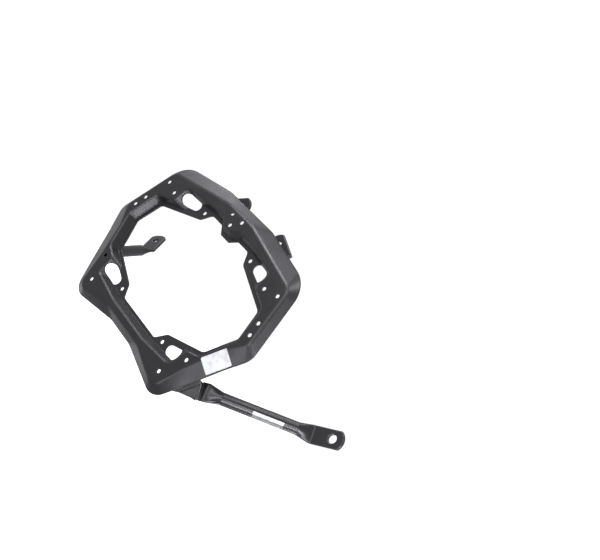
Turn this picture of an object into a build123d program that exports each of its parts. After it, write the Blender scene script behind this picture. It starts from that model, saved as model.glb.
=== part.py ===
"""Pannier frame: a pressed ring plate on four flattened tube struts, in millimetres.

+X is forward, +Z is up and -Y points out, towards the case. The origin is the middle of the four lobe holes,
on the front of the recessed seat.
"""
import os
from math import radians, tan

from build123d import *

# Ring plate: sheet, levels and bends
sheet = 2.0
seat_depth = 13.5
flange_depth = 10.5
flange_bend = 10.0
mouth_bevel = 1.8
wall_skirt = 1.2
crest_inset = 0.7
rim_inset = 3.2

# Ring plate: front half of each outline, each corner as X, Z and radius, from the top round to the bottom
crest_corners = [
    (28, 121, 80),
    (163, 95, 16),
    (183.5, 7, 12),
    (161.5, -21, 30),
    (139.5, -74, 40),
    (122.6, -131.6, 16),
    (50, -112, 60),
]
rim_corners = [
    (58, 135.6, 80),
    (169.5, 116.3, 45),
    (199, -5, 25),
    (179.5, -42, 60),
    (155.2, -93.5, 60),
    (130.5, -143.3, 28),
    (30, -123.8, 60),
]
opening_corners = [
    (10.5, 79.5, 5),
    (23.2, 90.5, 5),
    (50.6, 90.5, 7.5),
    (62.7, 72.6, 10),
    (142.9, 44.2, 8),
    (154.5, -0.2, 8),
    (130.7, -48.2, 10),
    (63.7, -71.2, 9),
    (49.3, -89.7, 7),
]

# Ring plate: recess, each corner as X, Z, radius at the face, radius at the seat, and the run of the wall before it
recess_corners = [
    (10.6, 92.5, 5, 5, 8),
    (23.4, 101, 5, 5, 6),
    (47.9, 101, 30, 30, 6),
    (119.2, 92.5, 9, 7, 5.5),
    (121.4, 62.6, 9, 9, 22),
    (153.8, 51.2, 15, 11, 4.7),
    (165, -1, 12, 10, 4.1),
    (141.7, -54.6, 12, 9, 4.4),
    (119.5, -62.6, 9, 9, 4.7),
    (115.3, -93.7, 9, 7, 20),
    (48, -101.8, 30, 30, 7.5),
]
bottom_wall_run = 7.6

# Ring plate: round holes, as X and Z of the front one of each pair
hole_diameter = 6.4
lobe_pitch_x = 132.0
lobe_pitch_z = 168.5
paired_holes = [
    (156.4, 77.9),
    (131.3, 71.7),
    (168.2, 34.5),
    (172.8, 15.6),
    (130.8, -71),
    (112.3, -109.9),
    (12.8, 113.4),
]
middle_hole = (0, 98.7)

# Ring plate: tapered slots beside the lobes, each end as X, Z and radius
upper_slot = [(87.9, 83.5, 8), (106.5, 80.2, 9.8)]
lower_slot = [(87.9, -82.5, 8.2), (106, -78.5, 10)]

# Struts: tube and flattened end
tube_diameter = 18.0
tube_wall = 1.7
flatten_length = 20.0
flat_width = 26.0
flat_thickness = 4.4
flat_side_arc = 50.0
flat_bend = 7.0
flat_bulge = 6.0
flat_length = 46.0
bolt_hole_diameter = 10.0
bolt_hole_edge = 17.0

# Struts: where each tube's axis meets the face, where its end turns, and where the flat end points
top_rear = ((-152, 98), (-149, 100, 117.5), (0.77, 0, 0.64))
top_front = ((91.4, 103), (25.5, 100, 126.5), (-0.94, 0, 0.34))
rear_lower = ((-136, -70), (-190, 95, -26), (-0.58, 0.52, 0.63))

# Long strut: its two turns; both flat ends lie along the plate
front_lower_root = (174, -80.5)
front_lower_turn = (280.5, 105, -14)
root_flat_length = 12.0
long_hole_diameter = 13.0

# Gusset: folded bracket on the rim's lower front side, as distances along the rim from its front corner
gusset_sheet = 2.5
gusset_depth = 14.5
gusset_rim = (77.5, 122)
gusset_fold = (79, 112.5)
gusset_ear = (92, 17.5)
gusset_ear_radius = 4.0
gusset_bend = 1.0

face_plane = Plane.XZ.offset(seat_depth)
face_back = Plane.XZ.offset(seat_depth - sheet)
rim_plane = Plane.XZ.offset(seat_depth - flange_depth)
seat_plane = Plane.XZ
seat_back = Plane.XZ.offset(-sheet)
rim_y = flange_depth - seat_depth
clear_reach = 600.0


def both_sides(corners):
    """Corners of the front half, then their mirror images at the rear, as one closed run."""
    return [tuple(c) for c in corners] + [(-c[0], *c[1:]) for c in reversed(corners)]


def profile(plane, points, radii, grow=0.0):
    """Closed face with rounded corners, grown or shrunk by an even margin."""
    with BuildSketch(plane) as sketch:
        with BuildLine():
            FilletPolyline(*points, radius=radii, close=True)
        make_face()
        if grow:
            offset(amount=grow, mode=Mode.REPLACE)
    return sketch.sketch


def outline(plane, corners, grow=0.0):
    whole = both_sides(corners)
    return profile(plane, [c[:2] for c in whole], [c[2] for c in whole], grow)


def recess_foot(plane, grow=0.0):
    """Recess outline at the seat, each wall moved in by its own run."""
    whole = both_sides(recess_corners)
    front_runs = [c[4] for c in recess_corners]
    runs = front_runs + [bottom_wall_run] + front_runs[:0:-1]
    points = []
    for i, corner in enumerate(whole):
        here = Vector(*corner[:2])
        after = whole[(i + 1) % len(whole)]
        arrive = (here - Vector(*whole[i - 1][:2])).normalized()
        leave = (Vector(*after[:2]) - here).normalized()
        turn = arrive.X * leave.Y - arrive.Y * leave.X
        foot = here + (arrive * runs[(i + 1) % len(runs)] - leave * runs[i]) / turn
        points.append((foot.X, foot.Y))
    return profile(plane, points, [c[3] for c in whole], grow)


# Blank: the dished outer form, with its soft outer bend
with BuildPart() as blank:
    loft([outline(face_plane, crest_corners), outline(rim_plane, rim_corners)], ruled=True)
    fillet(blank.faces().sort_by(Axis.Y)[0].edges(), radius=flange_bend)

# Hollow: the same form one sheet further in
with BuildPart() as hollow:
    loft([outline(face_back, crest_corners, -crest_inset), outline(rim_plane, rim_corners, -rim_inset)], ruled=True)

# Boss: the outside of the pressed recess, behind the face
with BuildPart() as boss:
    loft([outline(face_back, recess_corners, wall_skirt), recess_foot(seat_back, wall_skirt)], ruled=True)

# Recess: the inside of the pressing
with BuildPart() as recess:
    loft([outline(face_plane, recess_corners), recess_foot(seat_plane)], ruled=True)

# Ring plate
with BuildPart() as ring_plate:
    add(blank.part)
    add(hollow.part, mode=Mode.SUBTRACT)
    add(boss.part)
    add(recess.part, mode=Mode.SUBTRACT)
    front = ring_plate.faces().filter_by(Plane.XZ).sort_by(Axis.Y)[0]
    chamfer(front.inner_wires()[0].edges(), length=mouth_bevel)
    extrude(outline(seat_plane, opening_corners), amount=seat_depth, both=True, mode=Mode.SUBTRACT)
    for slot in (upper_slot, lower_slot):
        for side in (1, -1):
            with BuildSketch(face_plane) as slot_hull:
                for x, z, radius in slot:
                    with Locations((side * x, z)):
                        Circle(radius)
                make_hull()
            extrude(amount=-clear_reach, mode=Mode.SUBTRACT)
    with BuildSketch(face_plane) as round_holes:
        with Locations(middle_hole, *paired_holes, *[(-x, z) for x, z in paired_holes]):
            Circle(hole_diameter / 2)
        with GridLocations(lobe_pitch_x, lobe_pitch_z, 2, 2):
            Circle(hole_diameter / 2)
    extrude(amount=-clear_reach, mode=Mode.SUBTRACT)

# Room behind the plate, which trims the struts to its back
with BuildPart() as room_behind:
    add(hollow.part)
    with BuildSketch(rim_plane):
        Rectangle(2 * clear_reach, 2 * clear_reach)
    extrude(amount=-clear_reach)
    add(boss.part, mode=Mode.SUBTRACT)


def round_section(plane):
    """Tube section as four arcs, which match the four sides of the flat section."""
    with BuildSketch(plane) as sketch:
        with BuildLine():
            CenterArc((0, 0), tube_diameter / 2, -flat_side_arc / 2, flat_side_arc)
            CenterArc((0, 0), tube_diameter / 2, flat_side_arc / 2, 180 - flat_side_arc)
            CenterArc((0, 0), tube_diameter / 2, 180 - flat_side_arc / 2, flat_side_arc)
            CenterArc((0, 0), tube_diameter / 2, 180 + flat_side_arc / 2, 180 - flat_side_arc)
        make_face()
    return sketch.sketch


def flat_section(plane):
    with BuildSketch(plane) as sketch:
        Rectangle(flat_width, flat_thickness)
    return sketch.sketch


def flat_tab(origin, aim, wide, length, hole):
    """Flat end piece with a bowed edge and, at need, its bolt hole."""
    side = flat_width / 2
    with BuildPart() as tab:
        extrude(flat_section(Plane(origin, x_dir=wide, z_dir=aim)), amount=length)
        plan = Plane(origin, x_dir=aim, z_dir=aim.cross(wide))
        with BuildSketch(plan):
            with BuildLine():
                ThreePointArc((length - flat_bulge, -side), (length, 0), (length - flat_bulge, side))
                Polyline((length - flat_bulge, side), (0, side), (0, -side), (length - flat_bulge, -side))
            make_face()
        extrude(amount=flat_thickness, both=True, mode=Mode.INTERSECT)
        if hole:
            with BuildSketch(plan):
                with Locations((length - bolt_hole_edge, 0)):
                    Circle(hole / 2)
            extrude(amount=flat_thickness, both=True, mode=Mode.SUBTRACT)
    return tab.part


def flattened_end(turn, along, aim, length, hole):
    """Tube end that is pressed flat and then turned, and the point where the round tube stops."""
    wide = along.cross(aim).normalized()
    angle = along.get_angle(aim)
    reach = flat_bend * tan(radians(angle / 2))
    flat_from = turn - along * reach
    round_to = flat_from - along * flatten_length
    turn_centre = flat_from + wide.cross(along) * flat_bend
    flat_plane = Plane(flat_from, x_dir=wide, z_dir=along)
    with BuildPart() as end:
        loft([round_section(Plane(round_to, x_dir=wide, z_dir=along)), flat_section(flat_plane)], ruled=True)
        revolve(flat_section(flat_plane), axis=Axis(turn_centre, wide), revolution_arc=angle)
        add(flat_tab(turn + aim * reach, aim, wide, length, hole))
    return end.part, round_to


def round_tube(start, stop, wall=tube_wall):
    with BuildPart() as tube:
        with BuildSketch(Plane(start, z_dir=stop - start)):
            Circle(tube_diameter / 2)
            Circle(tube_diameter / 2 - wall, mode=Mode.SUBTRACT)
        extrude(amount=(stop - start).length)
    return tube.part


def plate_strut(root, turn, aim):
    """Strut that runs from the back of the plate to a flattened end."""
    seat = Vector(root[0], -seat_depth, root[1])
    turn = Vector(*turn)
    along = (turn - seat).normalized()
    end, round_to = flattened_end(turn, along, Vector(*aim).normalized(), flat_length, bolt_hole_diameter)
    with BuildPart() as strut:
        add(round_tube(seat - along * tube_diameter, round_to))
        add(end)
        add(room_behind.part, mode=Mode.INTERSECT)
    return strut.part


strut_top_rear = plate_strut(*top_rear)
strut_top_front = plate_strut(*top_front)
strut_rear_lower = plate_strut(*rear_lower)

# Long strut, flat at both ends, with its root flat on the back of the gusset
gusset_back_y = rim_y + gusset_depth
root_turn = Vector(front_lower_root[0], gusset_back_y + flat_thickness / 2, front_lower_root[1])
end_turn = Vector(*front_lower_turn)
long_axis = (end_turn - root_turn).normalized()
long_aim = Vector(long_axis.X, 0, long_axis.Z).normalized()
far_end, far_round = flattened_end(end_turn, long_axis, long_aim, flat_length, long_hole_diameter)
near_end, near_round = flattened_end(root_turn, -long_axis, -long_aim, root_flat_length, None)
with BuildPart() as strut_front_lower:
    add(round_tube(near_round, far_round))
    add(near_end)
    add(far_end)

# Gusset, folded from the rim's back edge out to an ear behind which the long strut is welded
rim_front = Vector(rim_corners[2][0], 0, rim_corners[2][1])
rim_low = Vector(rim_corners[5][0], 0, rim_corners[5][1])
rim_run = (rim_low - rim_front).normalized()
rim_out = rim_run.cross(Vector(0, 1, 0))
rim_section = Plane(rim_front + rim_run * gusset_rim[1], x_dir=rim_out, z_dir=-rim_run)
rim_side = Plane(rim_front, x_dir=rim_run, z_dir=rim_out)
rim_plan = Plane(rim_front, x_dir=rim_run, z_dir=(0, -1, 0))
with BuildPart() as gusset:
    with BuildSketch(rim_section):
        with BuildLine():
            Polyline(
                (-gusset_sheet, rim_y),
                (0, rim_y),
                (0, gusset_back_y - gusset_sheet),
                (gusset_ear[1], gusset_back_y - gusset_sheet),
                (gusset_ear[1], gusset_back_y),
                (-gusset_sheet, gusset_back_y),
                close=True,
            )
        folded = make_face()
        fillet(folded.vertices().sort_by_distance((0, gusset_back_y - gusset_sheet))[0], radius=gusset_bend)
        outer_fold = folded.vertices().sort_by_distance((-gusset_sheet, gusset_back_y))[0]
        fillet(outer_fold, radius=gusset_bend + gusset_sheet)
    extrude(amount=gusset_rim[1] - gusset_rim[0])
    with BuildSketch(rim_side):
        with BuildLine():
            Polyline(
                (gusset_rim[0], rim_y),
                (gusset_rim[1], rim_y),
                (gusset_fold[1], gusset_back_y),
                (gusset_fold[0], gusset_back_y),
                close=True,
            )
        make_face()
    extrude(amount=2 * gusset_ear[1], both=True, mode=Mode.INTERSECT)
    with BuildSketch(rim_plan):
        with BuildLine():
            Polyline(
                (gusset_rim[0], -gusset_sheet),
                (gusset_rim[1], -gusset_sheet),
                (gusset_rim[1], 0),
                (gusset_fold[1], 0),
                gusset_ear,
                (gusset_fold[0], 0),
                (gusset_rim[0], 0),
                close=True,
            )
        ear = make_face()
        fillet(ear.vertices().sort_by_distance(gusset_ear)[0], radius=gusset_ear_radius)
    extrude(amount=2 * gusset_depth, both=True, mode=Mode.INTERSECT)

nodes = {
    "ring_plate": ring_plate.part,
    "strut_top_rear": strut_top_rear,
    "strut_top_front": strut_top_front,
    "strut_rear_lower": strut_rear_lower,
    "strut_front_lower": strut_front_lower.part,
    "gusset": gusset.part,
}
os.makedirs("parts", exist_ok=True)
for name, part in nodes.items():
    part.label = name
    export_step(part, f"parts/{name}.step")
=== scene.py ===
from math import atan2, cos, pi, radians, sin
from math import floor as round_down

import bpy
from mathutils import Matrix, Vector


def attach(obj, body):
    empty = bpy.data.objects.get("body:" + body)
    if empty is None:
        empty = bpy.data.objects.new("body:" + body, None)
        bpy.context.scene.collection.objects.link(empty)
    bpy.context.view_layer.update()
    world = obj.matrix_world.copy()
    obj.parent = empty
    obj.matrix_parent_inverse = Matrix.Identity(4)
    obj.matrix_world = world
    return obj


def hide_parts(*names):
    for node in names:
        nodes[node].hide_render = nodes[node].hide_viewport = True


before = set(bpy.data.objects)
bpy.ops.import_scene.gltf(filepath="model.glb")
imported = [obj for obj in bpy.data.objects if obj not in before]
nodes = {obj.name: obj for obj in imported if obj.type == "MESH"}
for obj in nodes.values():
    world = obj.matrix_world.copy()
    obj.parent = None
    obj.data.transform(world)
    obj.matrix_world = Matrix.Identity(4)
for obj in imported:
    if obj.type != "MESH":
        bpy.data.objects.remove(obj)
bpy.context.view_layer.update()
scene = bpy.context.scene
scene.view_settings.view_transform = "Standard"

# Directions of the part, whose face looks towards the case
behind = Vector((0, 1, 0))
in_front = Vector((0, -1, 0))

# Camera, at the photograph's viewing angle
camera_place = Vector((0.8603, -0.9123, 0.0602))
camera_right = Vector((0.5569, 0.3878, 0.7345))
camera_down = Vector((0.5609, 0.4767, -0.6769))
camera_forward = Vector((-0.6126, 0.789, 0.0479))
camera_lens = 51.0
camera_sensor = 36.0
camera_near = 0.05

# Softboxes, each by its direction in the picture (right, up, towards the camera), size and power
softbox_distance = 2.0
softbox_colour = (0.98, 0.97, 1.04)
softboxes = [
    ("front_low", (0.0, -0.54, 0.84), 0.7, 25),
    ("front_low_right", (0.51, -0.51, 0.69), 0.7, 24),
    ("low", (0.28, -0.89, 0.35), 0.7, 16),
    ("below", (0.0, -0.98, 0.0), 0.8, 18),
    ("under_camera", (0.24, -0.12, 0.96), 0.5, 11),
    ("camera_left", (-0.3, 0.25, 0.92), 0.55, 10),
    ("over_camera", (-0.17, 0.69, 0.7), 0.6, 7),
    ("top_front", (-0.14, 0.96, 0.2), 0.6, 15),
    ("top_right", (0.46, 0.77, 0.44), 0.7, 10),
    ("right_behind", (0.62, 0.78, -0.11), 0.8, 9),
    ("top_behind", (-0.02, 0.91, -0.42), 0.7, 6),
    ("left_front", (-0.63, -0.04, 0.77), 0.45, 5),
    ("far_left", (-0.87, 0.0, -0.5), 0.8, 2.5),
    ("left_behind", (-0.72, 0.43, -0.54), 0.9, 1.2),
    ("below_behind", (0.03, -0.9, -0.42), 0.8, 8),
]

# White studio around the part
fill_colour = (0.98, 0.98, 1.0, 1)
fill_strength = 0.52
backdrop_colour = (1, 1, 1, 1)
backdrop_strength = 1.05
floor_size = 12.0
floor_height = -0.6
floor_colour = (0.9, 0.9, 0.9, 1)
floor_roughness = 0.9

# Black coat: its grain, its duller patches, and a painted highlight on its crisp edges
grain_detail = 3.0
grain_depth = 0.0003
patch_scale = 38.0
patch_detail = 4.0
patch_range = (0.3, 0.7)
# Lighter colour of the crisp edges: a painted highlight
painted_edge_highlight_colour = (0.02, 0.02, 0.022, 1)
edge_samples = 16
edge_range = (0.985, 0.86)
thin_edge_radius = 0.0012
pressed_edge_radius = 0.0032

# Vinyl of the labels, and its creases, whose darker colour is painted shade
crease_scale = 120.0
crease_detail = 5.0
crease_range = (0.3, 0.52)
crease_strength = 0.25
crease_depth = 0.0004
vinyl_roughness = 0.38

# Places of a map range node's vector sockets, which share their names with its number sockets
vector_to_min = 9
vector_to_max = 10

# Tubes: radius, and where each axis starts and turns
tube_radius = 0.009
plate_tubes = {
    "top_rear": (Vector((-0.152, -0.0135, 0.098)), Vector((-0.149, 0.1, 0.1175))),
    "top_front": (Vector((0.0914, -0.0135, 0.103)), Vector((0.0255, 0.1, 0.1265))),
    "rear_lower": (Vector((-0.136, -0.0135, -0.07)), Vector((-0.19, 0.095, -0.026))),
}
long_tube_root = Vector((0.174, 0.0137, -0.0805))
long_tube_turn = Vector((0.2805, 0.105, -0.014))

# Rim side that carries the gusset, from its front corner to its low one
rim_front = Vector((0.199, 0, -0.005))
rim_low = Vector((0.1305, 0, -0.1433))
rim_run = (rim_low - rim_front).normalized()
rim_out = rim_run.cross(behind)

# Gusset's corners, each by its distance out, its depth, and where it starts and ends along the rim
base_front = (-0.0025, -0.003, 0.0775, 0.122)
ramp_top = (0.0, -0.003, 0.0775, 0.122)
ramp_foot = (0.0034, 0.0012, 0.0785, 0.114)
tip_front = (0.0175, 0.0086, 0.0895, 0.0945)
tip_back = (0.0175, 0.0115, 0.0895, 0.0945)
base_back = (-0.0025, 0.0115, 0.079, 0.1125)
gusset_section = [base_front, ramp_top, ramp_foot, tip_front, tip_back, base_back]
gusset_edge = 0.0011
gusset_edge_steps = 3
gusset_smooth_angle = radians(35)

# Weld beads; a wobble is a list of waves, each by its share of the size and its rate
drop_segments = 10
drop_rings = 6
drop_flatness = 0.72
bead_fineness = 0.00035
bead_smoothing = 0.5
bead_smoothing_steps = 2

# Beads around the tubes, whose seam is looked for along each tube down to the level back of the plate
tube_ripples = 44
tube_ripple_size = 0.0019
tube_ripple_length = 0.62
tube_wobble = [(0.1, 5.0), (0.05, 17.0)]
tube_seam_start = 0.05
tube_seam_reach = 0.075
tube_seam_gap = 0.0005
tube_seam_level = 0.85
tube_seam_inner_limit = -0.3

# Bead around the gusset's back, and bead on its ramp
ear_ripple_pitch = 0.0014
ear_ripple_size = 0.0013
ear_ripple_length = 0.8
ear_wobble = [(0.1, 2.3)]
rim_bead_span = (0.0795, 0.1155)
rim_bead_sink = 0.0008
rim_bead_thinning = 0.4
rim_ripples = 32
rim_ripple_size = 0.0024
rim_ripple_length = 1.3
rim_wobble = [(0.07, 1.9), (0.04, 5.3)]

# Blank labels
label_thickness = 0.00015
label_smooth_angle = radians(40)
flange_label_middle = Vector((0.1632, -0.0095, -0.0407))
flange_label_along = Vector((0.448, 0, 0.894))
flange_label_up = Vector((-0.813, -0.364, 0.449))
flange_label_size = (0.0392, 0.0247)
flange_label_grid = (26, 16)
flange_label_lift = 0.004
flange_label_corner = 0.0013
flange_label_corner_steps = 3
corner_tolerance = 1e-5
tube_label_start = 0.068
tube_label_length = 0.045
tube_label_upper = radians(-2)
# Angle past which the tube label takes its darker vinyl, painted shade on the lower side
tube_label_shade_start = radians(26)
tube_label_lower = radians(80)
tube_label_facets = 120


def deselect_all():
    if bpy.context.object and bpy.context.object.mode != "OBJECT":
        bpy.ops.object.mode_set(mode="OBJECT")
    bpy.ops.object.select_all(action="DESELECT")


def only(piece):
    deselect_all()
    piece.select_set(True)
    bpy.context.view_layer.objects.active = piece


def settle(piece):
    """Puts the piece's place and turn into its mesh."""
    only(piece)
    bpy.ops.object.transform_apply(location=True, rotation=True, scale=True)


def apply_modifier(piece, kind, **settings):
    only(piece)
    modifier = piece.modifiers.new(kind.lower(), kind)
    for name, value in settings.items():
        setattr(modifier, name, value)
    bpy.ops.object.modifier_apply(modifier=modifier.name)


def smooth(piece, angle):
    """Smooth shading, with sharp edges where the faces turn by more than the angle."""
    only(piece)
    bpy.ops.object.shade_smooth_by_angle(angle=angle)


def clear_mesh_selection():
    """Leaves nothing selected in the active piece's mesh."""
    bpy.ops.object.mode_set(mode="EDIT")
    bpy.ops.mesh.select_all(action="DESELECT")
    bpy.ops.object.mode_set(mode="OBJECT")


def image_direction(right, up, towards):
    """World direction, from its parts along the picture's right, its up and back to the camera."""
    return (camera_right * right - camera_down * up - camera_forward * towards).normalized()


def rim_place(along, out, depth):
    """Place near the gusset, by its distance along the rim, out from the rim and behind the face."""
    return rim_front + rim_run * along + rim_out * out + behind * depth


def wobbled(size, waves, at):
    """Size of a ripple, made uneven by waves."""
    return size * sum((share * sin(rate * at) for share, rate in waves), 1.0)


def add_camera():
    bpy.ops.object.camera_add(location=camera_place)
    camera = bpy.context.object
    camera.name = "photo_camera"
    camera.rotation_euler = Matrix((camera_right, -camera_down, -camera_forward)).transposed().to_euler()
    camera.data.lens = camera_lens
    camera.data.sensor_width = camera_sensor
    camera.data.clip_start = camera_near
    scene.camera = camera


def add_softbox(name, direction, size, power):
    """Round soft light that faces the object's middle."""
    bpy.ops.object.light_add(type="AREA", location=direction * softbox_distance)
    light = bpy.context.object
    light.name = name
    light.rotation_euler = direction.to_track_quat("Z", "Y").to_euler()
    light.data.shape = "DISK"
    light.data.size = size
    light.data.energy = power
    light.data.color = softbox_colour


def add_world():
    """Grey fill that lights the part, and a white backdrop that only the camera sees."""
    world = bpy.data.worlds.new("white_studio")
    scene.world = world
    world.use_nodes = True
    tree = world.node_tree
    tree.nodes.clear()
    output = tree.nodes.new("ShaderNodeOutputWorld")
    mix = tree.nodes.new("ShaderNodeMixShader")
    path = tree.nodes.new("ShaderNodeLightPath")
    fill = tree.nodes.new("ShaderNodeBackground")
    seen = tree.nodes.new("ShaderNodeBackground")
    fill.inputs["Color"].default_value = fill_colour
    fill.inputs["Strength"].default_value = fill_strength
    seen.inputs["Color"].default_value = backdrop_colour
    seen.inputs["Strength"].default_value = backdrop_strength
    factor, for_light, for_camera = mix.inputs
    tree.links.new(path.outputs["Is Camera Ray"], factor)
    tree.links.new(fill.outputs["Background"], for_light)
    tree.links.new(seen.outputs["Background"], for_camera)
    tree.links.new(mix.outputs["Shader"], output.inputs["Surface"])


def new_material(name):
    """New material, with its node tree and its shader."""
    material = bpy.data.materials.new(name)
    material.use_nodes = True
    return material, material.node_tree, material.node_tree.nodes["Principled BSDF"]


def floor_material():
    material, _, shader = new_material("pale_floor")
    shader.inputs["Base Color"].default_value = floor_colour
    shader.inputs["Roughness"].default_value = floor_roughness
    shader.inputs["Emission Color"].default_value = backdrop_colour
    shader.inputs["Emission Strength"].default_value = backdrop_strength
    return material


def add_floor():
    deselect_all()
    bpy.ops.mesh.primitive_plane_add(size=floor_size, location=(0, 0, floor_height))
    floor = bpy.context.object
    floor.name = "floor"
    settle(floor)
    floor.data.materials.append(floor_material())
    floor.visible_diffuse = False
    floor.visible_glossy = False


def coat_grain_group():
    """Fine orange peel of a baked coat, and slow patches of it that are a little duller."""
    group = bpy.data.node_groups.new("coat_grain", "ShaderNodeTree")
    group.interface.new_socket("Grain Scale", in_out="INPUT", socket_type="NodeSocketFloat")
    group.interface.new_socket("Height", in_out="OUTPUT", socket_type="NodeSocketFloat")
    group.interface.new_socket("Patches", in_out="OUTPUT", socket_type="NodeSocketFloat")
    start = group.nodes.new("NodeGroupInput")
    end = group.nodes.new("NodeGroupOutput")
    place = group.nodes.new("ShaderNodeTexCoord")
    peel = group.nodes.new("ShaderNodeTexNoise")
    peel.inputs["Detail"].default_value = grain_detail
    patches = group.nodes.new("ShaderNodeTexNoise")
    patches.inputs["Scale"].default_value = patch_scale
    patches.inputs["Detail"].default_value = patch_detail
    group.links.new(place.outputs["Object"], peel.inputs["Vector"])
    group.links.new(place.outputs["Object"], patches.inputs["Vector"])
    group.links.new(start.outputs["Grain Scale"], peel.inputs["Scale"])
    group.links.new(peel.outputs["Fac"], end.inputs["Height"])
    group.links.new(patches.outputs["Fac"], end.inputs["Patches"])
    return group


def edge_group(name, radius):
    """Mask of the crisp edges, where a painted highlight lightens the coat, and the normal rounded over
    them.
    """
    group = bpy.data.node_groups.new(name, "ShaderNodeTree")
    group.interface.new_socket("Edge", in_out="OUTPUT", socket_type="NodeSocketFloat")
    group.interface.new_socket("Soft Normal", in_out="OUTPUT", socket_type="NodeSocketVector")
    end = group.nodes.new("NodeGroupOutput")
    soft = group.nodes.new("ShaderNodeBevel")
    soft.samples = edge_samples
    soft.inputs["Radius"].default_value = radius
    surface = group.nodes.new("ShaderNodeNewGeometry")
    along = group.nodes.new("ShaderNodeVectorMath")
    along.operation = "DOT_PRODUCT"
    first, second = along.inputs[:2]
    turned = group.nodes.new("ShaderNodeMapRange")
    turned.inputs["From Min"].default_value = edge_range[0]
    turned.inputs["From Max"].default_value = edge_range[1]
    group.links.new(soft.outputs["Normal"], first)
    group.links.new(surface.outputs["True Normal"], second)
    group.links.new(along.outputs["Value"], turned.inputs["Value"])
    group.links.new(turned.outputs["Result"], end.inputs["Edge"])
    group.links.new(soft.outputs["Normal"], end.inputs["Soft Normal"])
    return group


def coat_material(name, grain, edges, dark, light, gloss, dull, scale, strength):
    """Satin black coat: base colour between dark and light, lightened on crisp edges by a painted highlight,
    roughness between gloss and dull.
    """
    material, tree, shader = new_material(name)
    peel = tree.nodes.new("ShaderNodeGroup")
    peel.node_tree = grain
    peel.inputs["Grain Scale"].default_value = scale
    rim = tree.nodes.new("ShaderNodeGroup")
    rim.node_tree = edges
    shade = tree.nodes.new("ShaderNodeMapRange")
    shade.data_type = "FLOAT_VECTOR"
    shade.inputs[vector_to_min].default_value = dark
    shade.inputs[vector_to_max].default_value = light
    # The edge mask mixes in the lighter edge colour, a painted highlight
    painted_edge_highlight = tree.nodes.new("ShaderNodeMix")
    painted_edge_highlight.data_type = "RGBA"
    painted_edge_highlight.inputs["B"].default_value = painted_edge_highlight_colour
    sheen = tree.nodes.new("ShaderNodeMapRange")
    sheen.inputs["From Min"].default_value = patch_range[0]
    sheen.inputs["From Max"].default_value = patch_range[1]
    sheen.inputs["To Min"].default_value = gloss
    sheen.inputs["To Max"].default_value = dull
    bump = tree.nodes.new("ShaderNodeBump")
    bump.inputs["Strength"].default_value = strength
    bump.inputs["Distance"].default_value = grain_depth
    tree.links.new(peel.outputs["Patches"], shade.inputs["Vector"])
    tree.links.new(shade.outputs["Vector"], painted_edge_highlight.inputs["A"])
    tree.links.new(rim.outputs["Edge"], painted_edge_highlight.inputs["Factor"])
    tree.links.new(painted_edge_highlight.outputs["Result"], shader.inputs["Base Color"])
    tree.links.new(peel.outputs["Patches"], sheen.inputs["Value"])
    tree.links.new(sheen.outputs["Result"], shader.inputs["Roughness"])
    tree.links.new(peel.outputs["Height"], bump.inputs["Height"])
    tree.links.new(rim.outputs["Soft Normal"], bump.inputs["Normal"])
    tree.links.new(bump.outputs["Normal"], shader.inputs["Normal"])
    return material


def label_material(name, crease_shade, plain):
    """Blank vinyl between painted shade in its creases and its plain colour."""
    material, tree, shader = new_material(name)
    place = tree.nodes.new("ShaderNodeTexCoord")
    creases = tree.nodes.new("ShaderNodeTexNoise")
    creases.inputs["Scale"].default_value = crease_scale
    creases.inputs["Detail"].default_value = crease_detail
    tone = tree.nodes.new("ShaderNodeValToRGB")
    for stop, position, colour in zip(tone.color_ramp.elements, crease_range, (crease_shade, plain)):
        stop.position = position
        stop.color = colour
    bump = tree.nodes.new("ShaderNodeBump")
    bump.inputs["Strength"].default_value = crease_strength
    bump.inputs["Distance"].default_value = crease_depth
    tree.links.new(place.outputs["Object"], creases.inputs["Vector"])
    tree.links.new(creases.outputs["Fac"], tone.inputs["Fac"])
    tree.links.new(tone.outputs["Color"], shader.inputs["Base Color"])
    tree.links.new(creases.outputs["Fac"], bump.inputs["Height"])
    tree.links.new(bump.outputs["Normal"], shader.inputs["Normal"])
    shader.inputs["Roughness"].default_value = vinyl_roughness
    return material


def make_flange_label(vinyl):
    """Blank label with rounded corners that lies on the sloped flange."""
    along = flange_label_along.normalized()
    across = flange_label_along.cross(flange_label_up).normalized()
    up = across.cross(flange_label_along).normalized()
    middle = flange_label_middle + across * flange_label_lift
    length, width = flange_label_size
    columns, rows = flange_label_grid
    deselect_all()
    bpy.ops.mesh.primitive_grid_add(x_subdivisions=columns, y_subdivisions=rows, size=1.0)
    label = bpy.context.object
    label.name = "flange_label"
    turn = Matrix((along, up, across)).transposed().to_4x4()
    label.matrix_world = Matrix.Translation(middle) @ turn @ Matrix.Diagonal((length, width, 1.0, 1.0))
    settle(label)
    clear_mesh_selection()
    for point in label.data.vertices:
        offset = point.co - middle
        at_end = abs(offset.dot(along)) > length / 2 - corner_tolerance
        at_side = abs(offset.dot(up)) > width / 2 - corner_tolerance
        point.select = at_end and at_side
    bpy.ops.object.mode_set(mode="EDIT")
    bpy.ops.mesh.bevel(offset=flange_label_corner, segments=flange_label_corner_steps, affect="VERTICES")
    bpy.ops.object.mode_set(mode="OBJECT")
    apply_modifier(
        label,
        "SHRINKWRAP",
        target=nodes["ring_plate"],
        wrap_method="PROJECT",
        use_project_x=False,
        use_project_y=True,
        use_project_z=False,
        use_negative_direction=True,
        use_positive_direction=True,
        offset=label_thickness / 2,
    )
    apply_modifier(label, "SOLIDIFY", thickness=label_thickness, offset=1.0)
    smooth(label, label_smooth_angle)
    label.data.materials.append(vinyl)
    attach(label, "root")


def face_angle(face):
    """Turn of a face around the upright axis."""
    return atan2(face.center.y, face.center.x)


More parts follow.
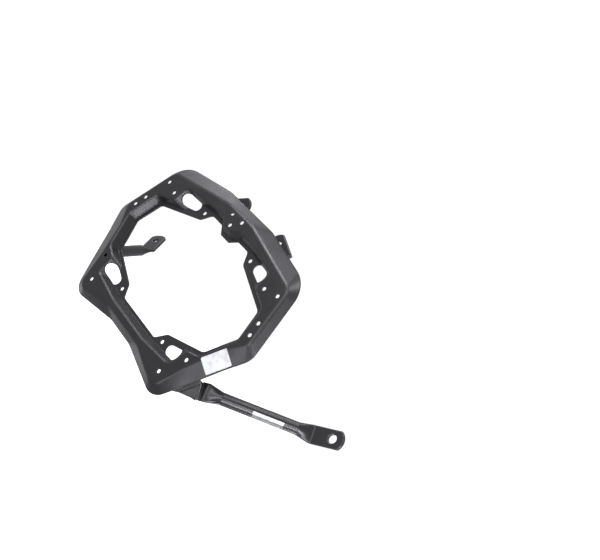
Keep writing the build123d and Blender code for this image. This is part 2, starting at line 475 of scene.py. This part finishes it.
def make_tube_label(vinyl, shaded_vinyl):
    """Narrow blank label that wraps part of the long tube, with a darker copy of its vinyl along its lower
    side as painted shade.
    """
    axis = (long_tube_turn - long_tube_root).normalized()
    view = camera_place - long_tube_root
    facing = (view - axis * view.dot(axis)).normalized()
    lower = axis.cross(facing)
    if lower.dot(camera_down) < 0:
        lower = -lower
    deselect_all()
    bpy.ops.mesh.primitive_cylinder_add(
        radius=tube_radius, depth=tube_label_length, vertices=tube_label_facets, end_fill_type="NOTHING"
    )
    label = bpy.context.object
    label.name = "tube_label"
    clear_mesh_selection()
    for face in label.data.polygons:
        face.select = not tube_label_upper < face_angle(face) < tube_label_lower
    bpy.ops.object.mode_set(mode="EDIT")
    bpy.ops.mesh.delete(type="FACE")
    bpy.ops.object.mode_set(mode="OBJECT")
    label.data.materials.append(vinyl)
    label.data.materials.append(shaded_vinyl)
    for face in label.data.polygons:
        # Faces past that angle, on the lower side, take the darker vinyl as painted shade
        face.material_index = 1 if face_angle(face) > tube_label_shade_start else 0
    turn = Matrix((facing, lower, facing.cross(lower))).transposed().to_4x4()
    middle = long_tube_root + axis * (tube_label_start + tube_label_length / 2)
    label.matrix_world = Matrix.Translation(middle) @ turn
    settle(label)
    apply_modifier(label, "SOLIDIFY", thickness=label_thickness, offset=1.0)
    smooth(label, label_smooth_angle)
    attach(label, "root")


def make_gusset(coat):
    """Bracket on the rim, whose front slopes back to the long tube's root."""
    corners = len(gusset_section)
    deselect_all()
    bpy.ops.mesh.primitive_circle_add(vertices=corners, fill_type="NGON")
    gusset = bpy.context.object
    gusset.name = "folded_gusset"
    bpy.ops.object.mode_set(mode="EDIT")
    bpy.ops.mesh.select_all(action="SELECT")
    bpy.ops.mesh.extrude_region_move(TRANSFORM_OT_translate={"value": (0, 0, 1)})
    bpy.ops.object.mode_set(mode="OBJECT")
    for point in gusset.data.vertices:
        turn = atan2(point.co.y, point.co.x) / (2 * pi)
        out, depth, start, end = gusset_section[round_down(turn * corners) % corners]
        on_far_ring = point.co.z > 0.5
        point.co = rim_place(end if on_far_ring else start, out, depth)
    bpy.ops.object.mode_set(mode="EDIT")
    bpy.ops.mesh.select_all(action="SELECT")
    bpy.ops.mesh.bevel(offset=gusset_edge, segments=gusset_edge_steps, affect="EDGES")
    bpy.ops.mesh.select_all(action="SELECT")
    bpy.ops.mesh.normals_make_consistent(inside=False)
    bpy.ops.object.mode_set(mode="OBJECT")
    smooth(gusset, gusset_smooth_angle)
    apply_modifier(gusset, "WEIGHTED_NORMAL", keep_sharp=True)
    gusset.data.materials.append(coat)
    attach(gusset, "root")
    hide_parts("gusset")


def weld_drop(place, along, out, size, length):
    """One frozen ripple of a weld bead."""
    deselect_all()
    bpy.ops.mesh.primitive_uv_sphere_add(segments=drop_segments, ring_count=drop_rings, radius=size)
    drop = bpy.context.object
    side = along.cross(out).normalized()
    turn = Matrix((along, side, out)).transposed().to_4x4()
    drop.matrix_world = Matrix.Translation(place) @ turn @ Matrix.Diagonal((length, 1.0, drop_flatness, 1.0))
    return drop


def make_bead(name, seam, coat, length):
    """Weld bead of ripples run into one skin, each by its place, direction, way out and size."""
    drops = [weld_drop(place, along, out, size, length) for place, along, out, size in seam]
    deselect_all()
    for drop in drops:
        drop.select_set(True)
    bpy.context.view_layer.objects.active = drops[0]
    bpy.ops.object.join()
    bead = bpy.context.object
    bead.name = name
    settle(bead)
    apply_modifier(bead, "REMESH", mode="VOXEL", voxel_size=bead_fineness)
    apply_modifier(bead, "SMOOTH", factor=bead_smoothing, iterations=bead_smoothing_steps)
    only(bead)
    bpy.ops.object.shade_smooth()
    bead.data.materials.append(coat)
    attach(bead, "root")


def tube_seam(root, turn):
    """Points where a tube's wall meets the back of the plate, left out on the side of the opening."""
    plate = nodes["ring_plate"]
    axis = (turn - root).normalized()
    side = axis.orthogonal().normalized()
    other = axis.cross(side)
    outward = Vector((root.x, 0, root.z)).normalized()
    seam = []
    for step in range(tube_ripples):
        angle = 2 * pi * step / tube_ripples
        radial = side * cos(angle) + other * sin(angle)
        start = root + axis * tube_seam_start + radial * (tube_radius + tube_seam_gap)
        hit, place, normal, _ = plate.ray_cast(start, -axis)
        on_outer_side = radial.dot(outward) > tube_seam_inner_limit
        on_back = hit and normal.y > tube_seam_level and (start - place).length < tube_seam_reach
        if on_outer_side and on_back:
            around = axis.cross(radial).normalized()
            size = wobbled(tube_ripple_size, tube_wobble, angle)
            seam.append((place, around, (radial + axis).normalized(), size))
    return seam


def ear_seam():
    """Points along the gusset's back edges, where the long tube's flat root is welded to it."""
    tip_out, tip_depth, tip_start, tip_end = tip_back
    base_out, base_depth, base_start, base_end = base_back
    corners = [
        rim_place(base_end, base_out, base_depth),
        rim_place(tip_end, tip_out, tip_depth),
        rim_place(tip_start, tip_out, tip_depth),
        rim_place(base_start, base_out, base_depth),
    ]
    seam = []
    for first, last in zip(corners, corners[1:]):
        ripples = round((last - first).length / ear_ripple_pitch)
        along = (last - first).normalized()
        for step in range(1, ripples):
            size = wobbled(ear_ripple_size, ear_wobble, step)
            seam.append((first.lerp(last, step / ripples), along, in_front, size))
    return seam


def rim_seam():
    """Points along the gusset's ramp, where it is welded to the flange; the bead thins to its low end."""
    top_out, top_depth, _, _ = ramp_top
    foot_out, foot_depth, _, _ = ramp_foot
    down_ramp = rim_out * (foot_out - top_out) + behind * (foot_depth - top_depth)
    facing = rim_run.cross(down_ramp).normalized()
    middle = rim_place(0, top_out, top_depth) + down_ramp / 2 - facing * rim_bead_sink
    first, last = [middle + rim_run * along for along in rim_bead_span]
    seam = []
    for step in range(rim_ripples + 1):
        share = step / rim_ripples
        size = wobbled(rim_ripple_size, rim_wobble, step) * (1.0 - rim_bead_thinning * share)
        seam.append((first.lerp(last, share), rim_run, facing, size))
    return seam


add_camera()
add_world()
add_floor()
for name, direction, size, power in softboxes:
    add_softbox(name, image_direction(*direction), size, power)

grain = coat_grain_group()
thin_edges = edge_group("thin_edges", thin_edge_radius)
pressed_edges = edge_group("pressed_edges", pressed_edge_radius)
plate_coat = coat_material(
    "plate_coat",
    grain,
    thin_edges,
    dark=(0.008, 0.008, 0.009),
    light=(0.014, 0.014, 0.0155),
    gloss=0.31,
    dull=0.37,
    scale=1500.0,
    strength=0.018,
)
tube_coat = coat_material(
    "tube_coat",
    grain,
    pressed_edges,
    dark=(0.008, 0.008, 0.009),
    light=(0.013, 0.013, 0.0145),
    gloss=0.29,
    dull=0.34,
    scale=1500.0,
    strength=0.012,
)
bead_coat = coat_material(
    "bead_coat",
    grain,
    thin_edges,
    dark=(0.016, 0.016, 0.017),
    light=(0.03, 0.03, 0.032),
    gloss=0.46,
    dull=0.58,
    scale=900.0,
    strength=0.06,
)
white_vinyl = label_material("white_vinyl", crease_shade=(0.42, 0.43, 0.43, 1), plain=(0.55, 0.56, 0.555, 1))
# Darker copy of the vinyl for the tube label's lower side: painted shade
painted_shade_vinyl = label_material("painted_shade_vinyl", crease_shade=(0.09, 0.09, 0.09, 1), plain=(0.15, 0.155, 0.15, 1))
for name, node in nodes.items():
    node.data.materials.clear()
    node.data.materials.append(plate_coat if name in ("ring_plate", "gusset") else tube_coat)

make_flange_label(white_vinyl)
make_tube_label(white_vinyl, painted_shade_vinyl)
for name, (root, turn) in plate_tubes.items():
    make_bead("bead_" + name, tube_seam(root, turn), bead_coat, tube_ripple_length)
make_gusset(plate_coat)
make_bead("bead_front_lower", ear_seam(), bead_coat, ear_ripple_length)
make_bead("bead_gusset", rim_seam(), bead_coat, rim_ripple_length)

deselect_all()
